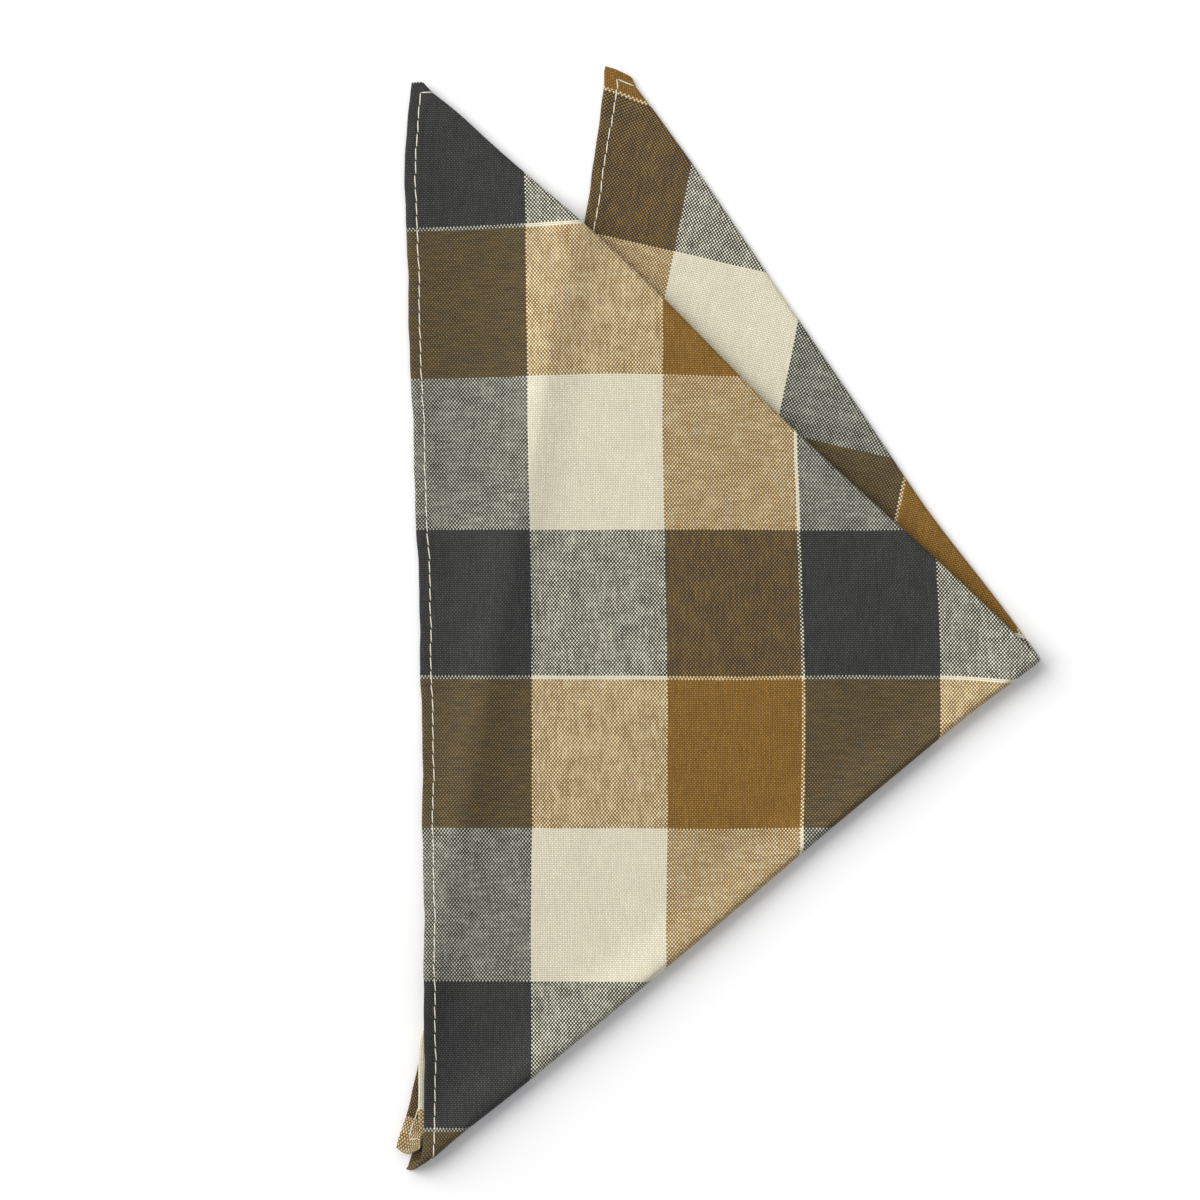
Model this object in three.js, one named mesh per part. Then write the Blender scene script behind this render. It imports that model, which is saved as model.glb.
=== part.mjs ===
// Square cotton handkerchief, folded corner to corner and then in half again.
// One sheet in four layers, resting on its lowest layer. Millimetres, +Z up.
//
// Flat cloth: "along" runs from the near side hem to the far side hem, "down" runs from
// the top hem to the bottom hem. Crease one joins two opposite corners. Crease two
// crosses it near the middle, so the layers from the top are: front, front lining,
// back lining, back.
import * as THREE from "three";

// ---- the flat cloth ----
const WIDTH = 303; // side hem to side hem
const LENGTH = 293; // top hem to bottom hem
const THICK = 1.0; // the cloth
const HEM_WIDE = 3.0; // turned edge, up to its stitching
const HEM_EXTRA = 0.2; // what the hem adds on the wrong side
const HEM_SLOPE = 0.8; // over which the hem runs out into the cloth
const HEM_ROUND = 0.3; // how far the turned edge bulges

// ---- the two creases ----
const CREASE_ONE_TOP = 5.9; // from the top corner, along the top hem
const CREASE_ONE_BOTTOM = 2.7; // from the far bottom corner, along the bottom hem
const POINT_AT = 223; // down crease one to where crease two crosses it
const CREASE_TWO_AT = 2.5; // from the near bottom corner, up the side hem
const BEND = 1.05; // radius of the middle of the cloth in both creases
const PRESSED = 0.72; // height of a pair of layers away from its creases, as a share
const HEM_LIFT = 0.5; // how much of the pressing the hems hold off
const PRESS_REACH = 6.5; // how far from a crease or hem a pair stays full
const DROP_START = 1.2; // from the edge of the back pair to where the front pair dips
const DROP_REACH = 26; // over which it comes down to the surface
const HEM_LEAN = 0.19; // radians, the back pair's hems from the Y axis
const HEM_STATIONS = [0.06, 0.36, 0.68, 1]; // shares of a hem where its curve is read
const TURN = -0.0245; // radians, the whole handkerchief as it lies
const SHIFT = { x: -84.05, y: 142.5 }; // puts the middle of the pile over the origin

// ---- how the cloth was pulled out of true, by where and by how much ----
const PULLS = [
  { along: 0, down: 0, right: 2.5, up: 0.2, reach: 17 }, // near top corner
  { along: 0, down: 150, right: 1.3, up: 0.9, reach: 70 }, // near side hem
  { along: 0, down: 293, right: -2.8, up: 0, reach: 25 }, // near bottom corner
  { along: 60, down: 50, right: 0.9, up: 2.6, reach: 45 },
  { along: 135, down: 165, right: 3.0, up: 0.7, reach: 60 }, // middle of the front
  { along: 165, down: 155, right: 1.3, up: -2.5, reach: 20 }, // the point
  { along: 205, down: 200, right: 0.8, up: -1.2, reach: 50 }, // middle of the back
  { along: 303, down: 245, right: 0.5, up: 0.7, reach: 45 },
  { along: 303, down: 293, right: -2.4, up: -1.5, reach: 18 }, // far bottom corner
  { along: 303, down: 0, right: -3.5, up: -1.5, reach: 35 }, // far top corner
];

// ---- soft swells in the pile, as shares of its height ----
const SWELLS = [
  { x: -18, y: 62, share: 0.05, reach: 26 },
  { x: 24, y: 8, share: 0.07, reach: 34 },
  { x: -40, y: -52, share: 0.06, reach: 30 },
  { x: -70, y: 20, share: -0.04, reach: 36 },
  { x: 10, y: -50, share: -0.03, reach: 24 },
  { x: -62, y: 112, share: 0.05, reach: 20 },
];

// ---- how finely it is cut into flat faces ----
const GRID = 13; // squares on the flat cloth
const ARC_STEPS_ONE = 5;
const ARC_STEPS_TWO = 7;
const BANDS = [3, 7.5]; // lines beside each crease
const DROP_LINES = [0, 0.25, 0.5, 0.75, 1]; // lines along the dip, as shares of its reach
const NEAR = 0.16; // a cut this near a corner goes through the corner
const NOWHERE = -99; // a distance that no cut reaches
const HALVINGS = 40; // in finding where a line crosses an edge
const STEP = 0.03; // for slopes
const FLAT = 1e-6; // a triangle under this share of its round squared has no width

// Plane vectors on the flat cloth, as [along, down].
const sub = (a, b) => [a[0] - b[0], a[1] - b[1]];
const dot = (a, b) => a[0] * b[0] + a[1] * b[1];
const go = (a, d, s) => [a[0] + d[0] * s, a[1] + d[1] * s];
const unit = (a) => [a[0] / Math.hypot(...a), a[1] / Math.hypot(...a)];
const clamp = (x, low, high) => Math.min(high, Math.max(low, x));

const oneTop = [CREASE_ONE_TOP, 0];
const oneEnd = [WIDTH - CREASE_ONE_BOTTOM, LENGTH];
const oneWay = unit(sub(oneEnd, oneTop));
const oneOut = [oneWay[1], -oneWay[0]]; // towards the half that turns under
const point = go(oneTop, oneWay, POINT_AT);
const twoEnd = [0, LENGTH - CREASE_TWO_AT];
const twoWay = unit(sub(twoEnd, point));
const twoOut = [twoWay[1], -twoWay[0]]; // towards the half that turns under
const OUTER_BEND = 3 * BEND; // the front layer goes round the outside of crease two

/** Crease one: a place on the flat cloth, bent under. Gives the place and its height. */
function bendOne(q) {
  const rel = sub(q, oneTop);
  const out = dot(rel, oneOut);
  const half = (Math.PI * BEND) / 2;
  const angle = clamp(out, -half, half) / BEND;
  const rest = out < -half ? out + half : out > half ? half - out : 0;
  const at = BEND * Math.cos(angle) - half + rest;
  return { place: go(go(oneTop, oneWay, dot(rel, oneWay)), oneOut, at), high: -BEND * Math.sin(angle) };
}

/** How far a bent place lies past crease two. */
const pastTwo = (place) => dot(sub(place, point), twoOut);

/** Crease two: the doubled cloth, bent under as one. */
function bendTwo({ place, high }) {
  const rel = sub(place, point);
  const out = dot(rel, twoOut);
  const half = (Math.PI * OUTER_BEND) / 2;
  const angle = clamp(out, -half, half) / OUTER_BEND;
  const rest = out < -half ? out + half : out > half ? half - out : 0;
  const radius = high + 2 * BEND;
  const at = radius * Math.cos(angle) - half + rest;
  const high2 = 3 * BEND - radius * Math.sin(angle);
  return { place: go(go(point, twoWay, dot(rel, twoWay)), twoOut, at), high: high2 };
}

/** Where it lies on the surface, before pressing: x, y and height above the lowest layer. */
function laid(q) {
  const { place, high } = bendTwo(bendOne(q));
  const [c, s] = [Math.cos(TURN), Math.sin(TURN)];
  let x = c * place[0] - s * place[1] + SHIFT.x;
  let y = -(s * place[0] + c * place[1]) + SHIFT.y;
  for (const p of PULLS) {
    const w = Math.exp(-((q[0] - p.along) ** 2 + (q[1] - p.down) ** 2) / p.reach ** 2);
    x += w * p.right;
    y += w * p.up;
  }
  return [x, y, high];
}

// The creases and hems as they lie, for the front pair of layers and the back pair.
const tip = laid(point);
const [top, end] = [laid(oneTop), laid(oneEnd)];
const [nearTop, nearEnd] = [laid([0, 0]), laid([0, LENGTH])];
const [farTop, farEnd] = [laid([WIDTH, 0]), laid([WIDTH, LENGTH])];
const FRONT_RIDGES = [
  { from: top, to: tip, full: 1 },
  { from: tip, to: nearEnd, full: 1 },
  { from: nearTop, to: nearEnd, full: HEM_LIFT },
];
const BACK_RIDGES = [
  { from: end, to: tip, full: 1 },
  { from: tip, to: nearEnd, full: 1 },
  { from: farTop, to: farEnd, full: HEM_LIFT },
];

function away(x, y, { from, to }) {
  const way = sub(to, from);
  const t = clamp(dot([x - from[0], y - from[1]], way) / dot(way, way), 0, 1);
  return Math.hypot(x - from[0] - t * way[0], y - from[1] - t * way[1]);
}

/** How high a pair of layers stands here, as a share. */
function stand(x, y, ridges) {
  let low = 1;
  for (const r of ridges) low *= 1 - r.full * Math.exp(-((away(x, y, r) / PRESS_REACH) ** 2));
  return PRESSED + (1 - PRESSED) * (1 - low);
}

/** A curve through four places on a hem of the back pair: x at a given y. */
function hemCurve(places) {
  const at = places.map(laid);
  return (y) =>
    at.reduce((sum, a, i) => {
      let w = a[0];
      at.forEach((b, j) => {
        if (j !== i) w *= (y - b[1]) / (a[1] - b[1]);
      });
      return sum + w;
    }, 0);
}
const farHem = hemCurve(HEM_STATIONS.map((s) => [WIDTH, LENGTH * s]));
const bottomHem = hemCurve(HEM_STATIONS.map((s) => [WIDTH * s, LENGTH]));

/** How far a place on the front pair lies outside the back pair. */
const outside = (x, y) => (Math.min(farHem(y), bottomHem(y)) - x) * Math.cos(HEM_LEAN) - DROP_START;

const frontPair = (q) => pastTwo(bendOne(q).place) < 0;

/** The middle of the cloth, in place. */
function middle(q) {
  const [x, y, high] = laid(q);
  const share = frontPair(q) ? clamp(outside(x, y) / DROP_REACH, 0, 1) : 0;
  const held = 1 - share * share * (3 - 2 * share);
  const pair = 4 * BEND;
  const below = Math.min(high, pair) * held * stand(x, y, BACK_RIDGES);
  const above = Math.max(high - pair, 0) * stand(x, y, FRONT_RIDGES);
  let swell = 1;
  for (const s of SWELLS) swell += s.share * Math.exp(-((x - s.x) ** 2 + (y - s.y) ** 2) / s.reach ** 2);
  return new THREE.Vector3(x, y, THICK / 2 + (below + above) * swell);
}

/** Away from the cloth's right side. */
function rightSide(q) {
  const along = middle([q[0] + STEP, q[1]]).sub(middle([q[0] - STEP, q[1]]));
  const down = middle([q[0], q[1] + STEP]).sub(middle([q[0], q[1] - STEP]));
  return down.cross(along).normalize();
}

/** Distance from the nearest edge of the flat cloth. */
const fromEdge = (q) => Math.min(q[0], WIDTH - q[0], q[1], LENGTH - q[1]);

// ---- the flat cloth, cut into faces along the lines that the folds need ----
const spots = [];
let faces = [];

function grid() {
  const ticks = (size) => {
    const hem = [0, HEM_WIDE, HEM_WIDE + HEM_SLOPE];
    const inside = size - 2 * hem[2];
    const n = Math.round(inside / GRID);
    const mid = [];
    for (let i = 1; i < n; i++) mid.push(hem[2] + (inside * i) / n);
    return [...hem, ...mid, ...hem.map((h) => size - h).reverse()];
  };
  const [across, down] = [ticks(WIDTH), ticks(LENGTH)];
  for (const v of down) for (const u of across) spots.push([u, v]);
  const n = across.length;
  for (let j = 0; j + 1 < down.length; j++)
    for (let i = 0; i + 1 < n; i++) {
      const a = j * n + i;
      faces.push([a, a + 1, a + 1 + n, a + n]);
    }
}

/** Cuts every face along the line where value is 0. */
function cut(value) {
  const at = spots.map((q) => {
    const x = value(q);
    return Math.abs(x) < NEAR ? 0 : x;
  });
  const made = new Map();
  const between = (a, b) => {
    const key = a < b ? a + "," + b : b + "," + a;
    if (!made.has(key)) {
      let [low, high] = at[a] < 0 ? [spots[a], spots[b]] : [spots[b], spots[a]];
      for (let i = 0; i < HALVINGS; i++) {
        const half = [(low[0] + high[0]) / 2, (low[1] + high[1]) / 2];
        if (value(half) < 0) low = half;
        else high = half;
      }
      made.set(key, spots.push(high) - 1);
      at.push(0);
    }
    return made.get(key);
  };
  const next = [];
  for (const face of faces) {
    const ring = [];
    face.forEach((a, i) => {
      const b = face[(i + 1) % face.length];
      ring.push(a);
      if (at[a] * at[b] < 0) ring.push(between(a, b));
    });
    const before = ring.filter((a) => at[a] <= 0);
    const after = ring.filter((a) => at[a] >= 0);
    if (ring.some((a) => at[a] < 0) && ring.some((a) => at[a] > 0)) {
      for (const part of [before, after]) if (part.length > 2) next.push(part);
    } else next.push(ring);
  }
  faces = next;
}

function cutAll() {
  const pastOne = (q) => dot(sub(q, oneTop), oneOut);
  const past = (q) => pastTwo(bendOne(q).place);
  const half = (radius) => (Math.PI * radius) / 2;
  for (const [value, radius, steps] of [
    [pastOne, BEND, ARC_STEPS_ONE],
    [past, OUTER_BEND, ARC_STEPS_TWO],
  ]) {
    const h = half(radius);
    for (let i = 0; i <= steps; i++) cut((q) => value(q) - h * ((2 * i) / steps - 1));
    for (const b of BANDS) for (const side of [-1, 1]) cut((q) => value(q) - side * (h + b));
  }
  for (const share of DROP_LINES)
    cut((q) => {
      const [x, y] = laid(q);
      return frontPair(q) ? outside(x, y) - DROP_REACH * share : NOWHERE;
    });
}

/** Splits a face into triangles, each time at its best-shaped corner. */
function triangles(face) {
  const ring = [...face];
  const out = [];
  const shape = (a, b, c) => {
    const [p, q, r] = [spots[a], spots[b], spots[c]];
    const area = (q[0] - p[0]) * (r[1] - p[1]) - (q[1] - p[1]) * (r[0] - p[0]);
    const round = Math.hypot(...sub(p, q)) + Math.hypot(...sub(q, r)) + Math.hypot(...sub(r, p));
    return area / round ** 2;
  };
  while (ring.length > 3) {
    let best = 0;
    let score = -Infinity;
    ring.forEach((b, i) => {
      const a = ring[(i + ring.length - 1) % ring.length];
      const c = ring[(i + 1) % ring.length];
      const rest = ring.filter((_, j) => j !== i);
      const next = (j) => rest[j % rest.length];
      const leftFlat = rest.every((x, j) => shape(x, next(j + 1), next(j + 2)) < FLAT);
      const s = leftFlat ? -1 : shape(a, b, c);
      if (s > score) [best, score] = [i, s];
    });
    const a = ring[(best + ring.length - 1) % ring.length];
    out.push([a, ring[best], ring[(best + 1) % ring.length]]);
    ring.splice(best, 1);
  }
  out.push(ring);
  return out;
}

function build() {
  grid();
  cutAll();
  const flat = faces.flatMap(triangles);
  const used = [...new Set(flat.flat())];
  const place = new Map(used.map((a, i) => [a, i]));
  const xyz = [];
  const put = (p) => xyz.push(p.x, p.y, p.z);
  const mids = used.map((a) => middle(spots[a]));
  const outs = used.map((a) => rightSide(spots[a]));
  mids.forEach((m, i) => put(m.clone().addScaledVector(outs[i], THICK / 2)));
  mids.forEach((m, i) => {
    const edge = fromEdge(spots[used[i]]);
    const extra = HEM_EXTRA * clamp((HEM_WIDE + HEM_SLOPE - edge) / HEM_SLOPE, 0, 1);
    put(m.clone().addScaledVector(outs[i], -THICK / 2 - extra));
  });
  const n = used.length;
  const index = [];
  const edges = new Map();
  for (const t of flat) {
    const [a, b, c] = t.map((x) => place.get(x));
    index.push(a, c, b, n + a, n + b, n + c);
    for (const [p, q] of [[a, b], [b, c], [c, a]])
      if (!edges.delete(q + "," + p)) edges.set(p + "," + q, [p, q]);
  }
  // The turned edge: a rounded strip from the right side to the wrong side.
  const rim = new Map();
  const bulge = (i) => {
    if (!rim.has(i)) {
      const q = spots[used[i]];
      const side = (x, size) => (x < FLAT ? -1 : x > size - FLAT ? 1 : 0);
      const out = [side(q[0], WIDTH), side(q[1], LENGTH)];
      const far = middle([q[0] + out[0] * HEM_ROUND, q[1] + out[1] * HEM_ROUND]);
      rim.set(i, xyz.length / 3);
      put(far.addScaledVector(outs[i], -HEM_EXTRA / 2));
    }
    return rim.get(i);
  };
  for (const [p, q] of edges.values()) {
    const [x, y] = [bulge(p), bulge(q)];
    index.push(p, q, x, q, y, x, x, y, n + p, y, n + q, n + p);
  }
  const shape = new THREE.BufferGeometry();
  shape.setAttribute("position", new THREE.Float32BufferAttribute(xyz, 3));
  shape.setIndex(index);
  shape.computeVertexNormals();
  return shape;
}

const cotton = new THREE.MeshStandardMaterial({ name: "cotton", color: 0x8a7a5c, roughness: 0.95 });
const cloth = new THREE.Mesh(build(), cotton);
cloth.name = "handkerchief";
const group = new THREE.Group();
group.name = "folded_handkerchief";
group.add(cloth);
export default group;
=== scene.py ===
import math

import bpy
import numpy as np
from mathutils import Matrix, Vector


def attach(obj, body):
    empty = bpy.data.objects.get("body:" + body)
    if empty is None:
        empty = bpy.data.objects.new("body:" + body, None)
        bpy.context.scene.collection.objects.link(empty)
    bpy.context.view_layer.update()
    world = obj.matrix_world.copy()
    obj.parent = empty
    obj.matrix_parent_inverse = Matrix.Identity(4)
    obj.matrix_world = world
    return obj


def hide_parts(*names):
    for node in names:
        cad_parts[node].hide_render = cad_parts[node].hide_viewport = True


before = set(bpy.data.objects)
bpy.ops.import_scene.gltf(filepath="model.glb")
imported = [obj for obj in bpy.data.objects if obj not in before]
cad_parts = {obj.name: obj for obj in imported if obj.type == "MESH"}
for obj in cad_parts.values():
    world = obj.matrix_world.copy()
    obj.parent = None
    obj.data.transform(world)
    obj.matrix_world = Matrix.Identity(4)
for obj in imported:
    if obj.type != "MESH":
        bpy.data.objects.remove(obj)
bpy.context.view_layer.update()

MM = 0.001

# ---- the flat cloth, as in the part's source ----
WIDTH = 303.0
LENGTH = 293.0
CREASE_ONE_TOP = 5.9  # from the top corner, along the top hem
CREASE_ONE_BOTTOM = 2.7  # from the far bottom corner, along the bottom hem
POINT_AT = 223.0  # down crease one to where crease two crosses it
# How far crease one turns off its line near each end, and reach.
TOP_HOOKS = [(0.5, 3.5), (1.0, 14.0)]
BOTTOM_HOOKS = [(3.0, 5.5)]
BOW = (0.8, 115.0, 42.0)  # how far crease two bows out, how far from the point, and reach
CREASE_TWO_AT = 2.5  # from the near bottom corner, up the side hem
TURN = -0.0245  # radians, the whole handkerchief as it lies
SHIFT = np.array([-84.05, 142.5])

# How the cloth was pulled out of true: along, down, right, up, reach.
PULLS = [
    (0, 0, 2.5, 0.2, 17),  # near top corner
    (0, 150, 1.3, 0.9, 70),  # near side hem
    (0, 293, -2.8, 0.0, 25),  # near bottom corner
    (60, 50, 0.9, 2.6, 45),
    (135, 165, 3.0, 0.7, 60),  # middle of the front
    (165, 155, 1.3, -2.5, 20),  # the point
    (205, 200, 0.8, -1.2, 50),  # middle of the back
    (303, 245, 0.5, 0.7, 45),
    (303, 293, -2.4, -1.5, 18),  # far bottom corner
    (303, 0, -3.5, -1.5, 35),  # far top corner
]

# More pulls, of the hems and the tips, which the part's solid leaves out.
FINE_PULLS = [
    (9, 1, -0.2, -0.7, 5),  # top hem beside the near top corner
    (0, 11, -0.6, 0.0, 10),
    (165, 155, -0.2, 1.0, 20),  # the point
    (293, 285.6, 2.4, -1.9, 9.5),  # the tip of the back pair
    (303, 285, -0.1, 1.7, 9.5),
    (303, 293, -0.7, 0.0, 4),
    (296, 293, 0.0, -2.0, 5),
    (269, 0, -7.6, 0.0, 22),  # top hem, where it shows beside the front
    (259, 0, -1.0, 0.0, 6),
    (287, 0, -3.2, 0.0, 8),
    (285, 0, 0.6, 0.0, 5),
    (280, 0, 0.0, 3.0, 13),
    (299.5, 0, 0.0, -1.9, 4),
    (303, 5, 0.9, 1.2, 9),
    (303, 0, -0.7, -0.6, 3.5),
    (303, 14, 1.5, 0.0, 13),  # far side hem near the far top corner
    (0, 279, 1.1, 0.0, 11),  # near side hem, and the tip below it
    (3, 287, 0.9, 0.0, 5),
    (0, 291, -1.3, -0.4, 4),
    (200, 190, -0.8, -0.4, 22),  # crease one of the back pair
]
CORNERS = [  # the hems make the corners blunt: along, down, how much, reach
    (0, 0, 0.25, 1.5),
    (WIDTH, 0, 0.35, 1.8),
    (WIDTH, LENGTH, 0.35, 1.8),
    (0, LENGTH, 0.4, 2.0),
]

# Soft swells in the pile: x, y, share of its height, reach.
SWELLS = [
    (-18, 62, 0.05, 26),
    (24, 8, 0.07, 34),
    (-40, -52, 0.06, 30),
    (-70, 20, -0.04, 36),
    (10, -50, -0.03, 24),
    (-62, 112, 0.05, 20),
]

# ---- the cloth, thinner than the solid and with its hems turned ----
THICK = 0.34  # a guess: the photo doesn't show it
HEM_EXTRA = 0.42  # what the turned layers of the hem add on the wrong side
HEM_FOLD = 3.3  # from the edge to where the hem's inner fold starts to round off
HEM_FOLD_END = 3.65
STITCH_LINE = 2.9  # from the edge to the middle of the stitching
GROOVE = 0.07  # how deep the stitching pulls into the cloth
GROOVE_REACH = 0.45
BEND = 0.75  # radius of the middle of the cloth in both creases
OUTER_BEND = 3 * BEND  # the front layer goes round the outside of crease two
TIGHT = 0.6  # crease two is pressed this narrow for its height
HALF_ONE = BEND * math.pi / 2  # length of cloth in half of each bend
TWO_TAKES = 1.211  # cloth that half of crease two takes, for each millimetre of its radius
HALF_TWO = OUTER_BEND * TWO_TAKES
LOFT = 1.2  # how much higher the pile stands than its bends alone would make it
SPRING = 0.7  # how far crease one of the front springs up off the back pair
SPRING_REACH = 5.0
PRESSED = 0.5  # height of a pair of layers away from its creases, as a share
HEM_LIFT = 1.0  # how much of the pressing the hems hold off
PRESS_REACH = 6.5
DROP_START = 1.2  # from the edge of the back pair to where the front pair dips
DROP_REACH = 22.0  # over which it comes down to the surface
HEM_LEAN = 0.19  # radians, the back pair's hems from the Y axis
HEM_STATIONS = [0.06, 0.36, 0.68, 1.0]  # shares of a hem where its curve is read
RIPPLES = [  # easy waves in the lie of the cloth: size, length along, length down, start
    (0.10, 61.0, 83.0, 0.4),
    (0.07, -37.0, 52.0, 2.1),
    (0.05, 26.0, 31.0, 4.0),
]
HEM_WAVES = [(0.16, 43.0, 0.7), (0.09, 19.0, 2.9), (0.05, 9.5, 5.1)]  # size, length, start
HEM_WAVE_REACH = 14.0
AXIS_SHIFT = 1.7  # radians, so that no two hems wave alike
FAR_SHIFT = 2.3

# ---- how finely the cloth is cut into faces ----
GRID = 2.2  # between lines away from the hems, at most about this
HEM_TICKS = [0, 0.05, 0.16, 0.4, 1.2, 2.1, 2.6, 2.9, 3.15, HEM_FOLD, 3.47, HEM_FOLD_END, 4.4]
ARC_STEPS_ONE = 8  # faces across each bend
ARC_STEPS_TWO = 14
BANDS = [0.9, 2.1]  # lines beside each crease
DROP_LINES = [0, 0.04, 1]  # lines along the dip, as shares of its reach
NEAR = 0.03  # a cut this near a corner goes through the corner
NOWHERE = -99.0  # keeps a line off the places that it isn't for
HALVINGS = 30  # to find where a line crosses the side of a face
STEP = 0.02  # for slopes
ON_RIM = 1e-9
HAIR = 1e-6

# ---- the weave ----
WARP_LEAN = 0.0145  # how far the ends drift, for each millimetre down
WEFT_LEAN = 0.0224  # how far the picks drift, for each millimetre along
WARP_COUNT = 80  # ends in each band of colour; they run down
WEFT_COUNT = 75  # picks in each band; they run along
WARP_PITCH = 35.59 / WARP_COUNT
WEFT_PITCH = 39.86 / WEFT_COUNT
WARP_START = -4.09  # along, where a round of warp bands starts
WEFT_START = -80.41  # down, where a round of weft bands starts
PALE_LINE = 2  # yarns in the pale line where ochre meets grey

# ---- the sewing ----
STITCH = 3.7
STITCH_GAP = 0.14
THREAD_WIDE = 0.34
THREAD_HIGH = 0.30
THREAD_PROUD = 0.09
THREAD_DIP = 0.12  # how far its ends go down into the cloth
STITCH_SLANT = 0.10
STITCH_WANDER = 0.07  # of each end of a stitch, along the hem
LEAN_WANDER = 0.06  # of a whole stitch, across it
THREAD_END = 0.45  # how thick its ends are, as a share
THREAD_LOWEST = 0.02  # it is pressed flat where the cloth rests on it
STITCH_SEED = 11
THREAD_RING = 8
THREAD_STEPS = [0, 0.05, 0.14, 0.3, 0.5, 0.7, 0.86, 0.95, 1]

# ---- the camera and what it sees ----
PHOTO_WIDE = 320.04  # millimetres across the whole frame, at the surface
PHOTO_MIDDLE = (-31.16, 4.72)
CAMERA_HIGH = 1600.0
SENSOR = 36.0
SKY = 0.49  # light from all round
SKY_COLOUR = (0.985, 0.99, 1.02, 1)
KEY = 2.95  # and from a very broad soft lamp
KEY_COLOUR = (1.015, 1.01, 0.98)
KEY_FROM = math.radians(157)  # from the right, turning left past the top
KEY_HIGH = math.radians(33)
KEY_WIDE = math.radians(56)
TOP_LAMP = 0.6  # watts of a weaker lamp past the two upper tips
TOP_LAMP_AT = (-0.02, 0.42, 0.38)
TOP_LAMP_TO = (0.0, 0.10, 0.0)
TOP_LAMP_WIDE = 0.4
FLOOR_WIDE = 6.0  # metres
FLOOR_AT = -0.00005  # metres, a hair under the cloth
FLOOR_GRAIN = 14.0
FLOOR_DARK = (0.95, 0.95, 0.95, 1)
FLOOR_LIGHT = (0.965, 0.965, 0.965, 1)


def unit(v):
    return v / np.hypot(*v)


ONE_TOP = np.array([CREASE_ONE_TOP, 0.0])
ONE_END = np.array([WIDTH - CREASE_ONE_BOTTOM, LENGTH])
ONE_LONG = np.hypot(*(ONE_END - ONE_TOP))
ONE_WAY = unit(ONE_END - ONE_TOP)
ONE_OUT = np.array([ONE_WAY[1], -ONE_WAY[0]])  # towards the half that turns under
POINT = ONE_TOP + ONE_WAY * POINT_AT
TWO_END = np.array([0.0, LENGTH - CREASE_TWO_AT])
TWO_WAY = unit(TWO_END - POINT)
TWO_OUT = np.array([TWO_WAY[1], -TWO_WAY[0]])


# ---------------------------------------------------------------- the folds

def bend(out, half):
    """Rolls a distance past a crease round a bend. Gives the angle and what is left straight."""
    angle = np.clip(out / half, -1, 1) * math.pi / 2
    rest = np.where(out < -half, out + half, np.where(out > half, half - out, 0.0))
    return angle, rest - half


def hooks(q):
    """How far crease one has turned off its line at its two ends, beside flat places."""
    run = (q - ONE_TOP) @ ONE_WAY

    def turned(from_end, turns):
        return sum(size * np.exp(-((from_end / reach) ** 2)) for size, reach in turns)

    return turned(run, TOP_HOOKS), turned(ONE_LONG - run, BOTTOM_HOOKS)


def bow(place):
    """How far crease two bows out of its line, beside places bent at crease one."""
    run = (place - POINT) @ TWO_WAY
    return BOW[0] * np.exp(-(((run - BOW[1]) / BOW[2]) ** 2))


def blunted(q):
    """Flat places, with each corner drawn in a little."""
    middle_of_cloth = np.array([WIDTH, LENGTH]) / 2
    out = q.copy()
    for along, down, size, reach in CORNERS:
        corner = np.array([along, down])
        near = np.exp(-((q - corner) ** 2).sum(axis=1) / reach**2)
        out += size * np.outer(near, np.sign(middle_of_cloth - corner))
    return out


def bend_one(q):
    """Crease one: places on the flat cloth, bent under. Gives places and heights."""
    rel = blunted(q) - ONE_TOP
    top, bottom = hooks(q)
    angle, rest = bend(rel @ ONE_OUT + top + bottom, HALF_ONE)
    at = BEND * np.cos(angle) + rest - top + bottom
    place = ONE_TOP + np.outer(rel @ ONE_WAY, ONE_WAY) + np.outer(at, ONE_OUT)
    return place, -BEND * np.sin(angle)


def past_two(q):
    """How far places on the flat cloth lie past crease two."""
    place = bend_one(q)[0]
    return (place - POINT) @ TWO_OUT - bow(place)


def bend_two(place, high):
    """Crease two: the doubled cloth, bent under as one."""
    rel = place - POINT
    bowed = bow(place)
    angle, rest = bend(rel @ TWO_OUT - bowed, HALF_TWO)
    radius = high + 2 * BEND
    at = TIGHT * radius * np.cos(angle) + rest + bowed
    place = POINT + np.outer(rel @ TWO_WAY, TWO_WAY) + np.outer(at, TWO_OUT)
    return place, 3 * BEND - radius * np.sin(angle)


def laid(q):
    """Where places lie on the surface, and how high, before pressing."""
    place, high = bend_two(*bend_one(q))
    c, s = math.cos(TURN), math.sin(TURN)
    x, y = place.T
    xy = np.column_stack([c * x - s * y, -(s * x + c * y)]) + SHIFT
    for along, down, right, up, reach in PULLS + FINE_PULLS:
        w = np.exp(-((q[:, 0] - along) ** 2 + (q[:, 1] - down) ** 2) / reach**2)
        xy += np.outer(w, [right, up])
    return xy + hem_waves(q), high


def hem_waves(q):
    """The hems never run quite straight."""
    size = np.array([WIDTH, LENGTH])
    move = np.zeros_like(q)
    for axis in (0, 1):
        other = 1 - axis
        for far in (0, 1):
            edge = np.abs(q[:, axis] - far * size[axis])
            near = np.exp(-((edge / HEM_WAVE_REACH) ** 2))
            for wave, length, start in HEM_WAVES:
                turn = 2 * math.pi * q[:, other] / length + start
                turn = turn + AXIS_SHIFT * axis + FAR_SHIFT * far
                move[:, axis] += wave * near * np.sin(turn)
    return move * [1, -1]


def spot(q):
    """One place on the flat cloth, as laid."""
    return laid(np.array([q], float))[0][0]


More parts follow.
